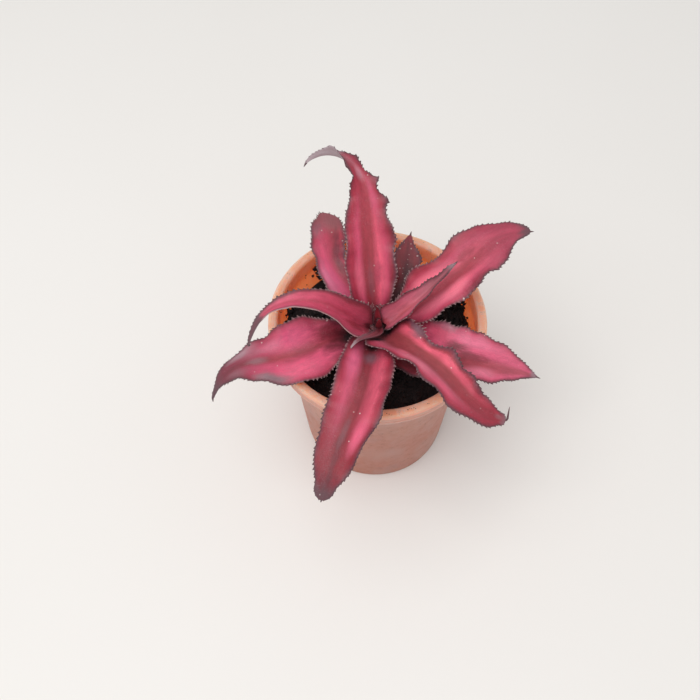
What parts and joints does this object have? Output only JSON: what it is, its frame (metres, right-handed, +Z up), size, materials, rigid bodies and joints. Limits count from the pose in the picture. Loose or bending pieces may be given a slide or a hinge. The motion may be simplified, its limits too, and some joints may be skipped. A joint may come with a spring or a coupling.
{
  "type": "earth star bromeliad in a pot",
  "caption": "Potted earth star bromeliad: a flat rosette of ruffled, spiny-edged leaves on a short stem, growing in soil in a round pot with a flared rim.",
  "frame": {"origin": "centre of the pot's base, on the surface that the pot stands on", "axes": "+Z up along the pot's axis; -Y is the side of the rosette's long front leaf; +X is to the right seen from there"},
  "size_m": [0.1438, 0.1398, 0.1605],
  "materials": {
    "pot_plastic": "matte",
    "soil": "matte",
    "stem": "matte",
    "leaf": "satin",
    "leaf_dark": "satin"
  },
  "bodies": {
    "root": {"pot": "pot_plastic", "soil": "soil", "stem": "stem", "heart": "leaf_dark", "small_front_leaf": "leaf_dark", "small_back_leaf": "leaf_dark", "right_leaf": "leaf", "left_leaf": "leaf", "back_left_leaf": "leaf", "front_leaf": "leaf", "rear_right_leaf": "leaf", "back_leaf": "leaf", "front_right_leaf": "leaf", "arching_leaf": "leaf", "inner_right_leaf": "leaf"}
  },
  "joints": []
}
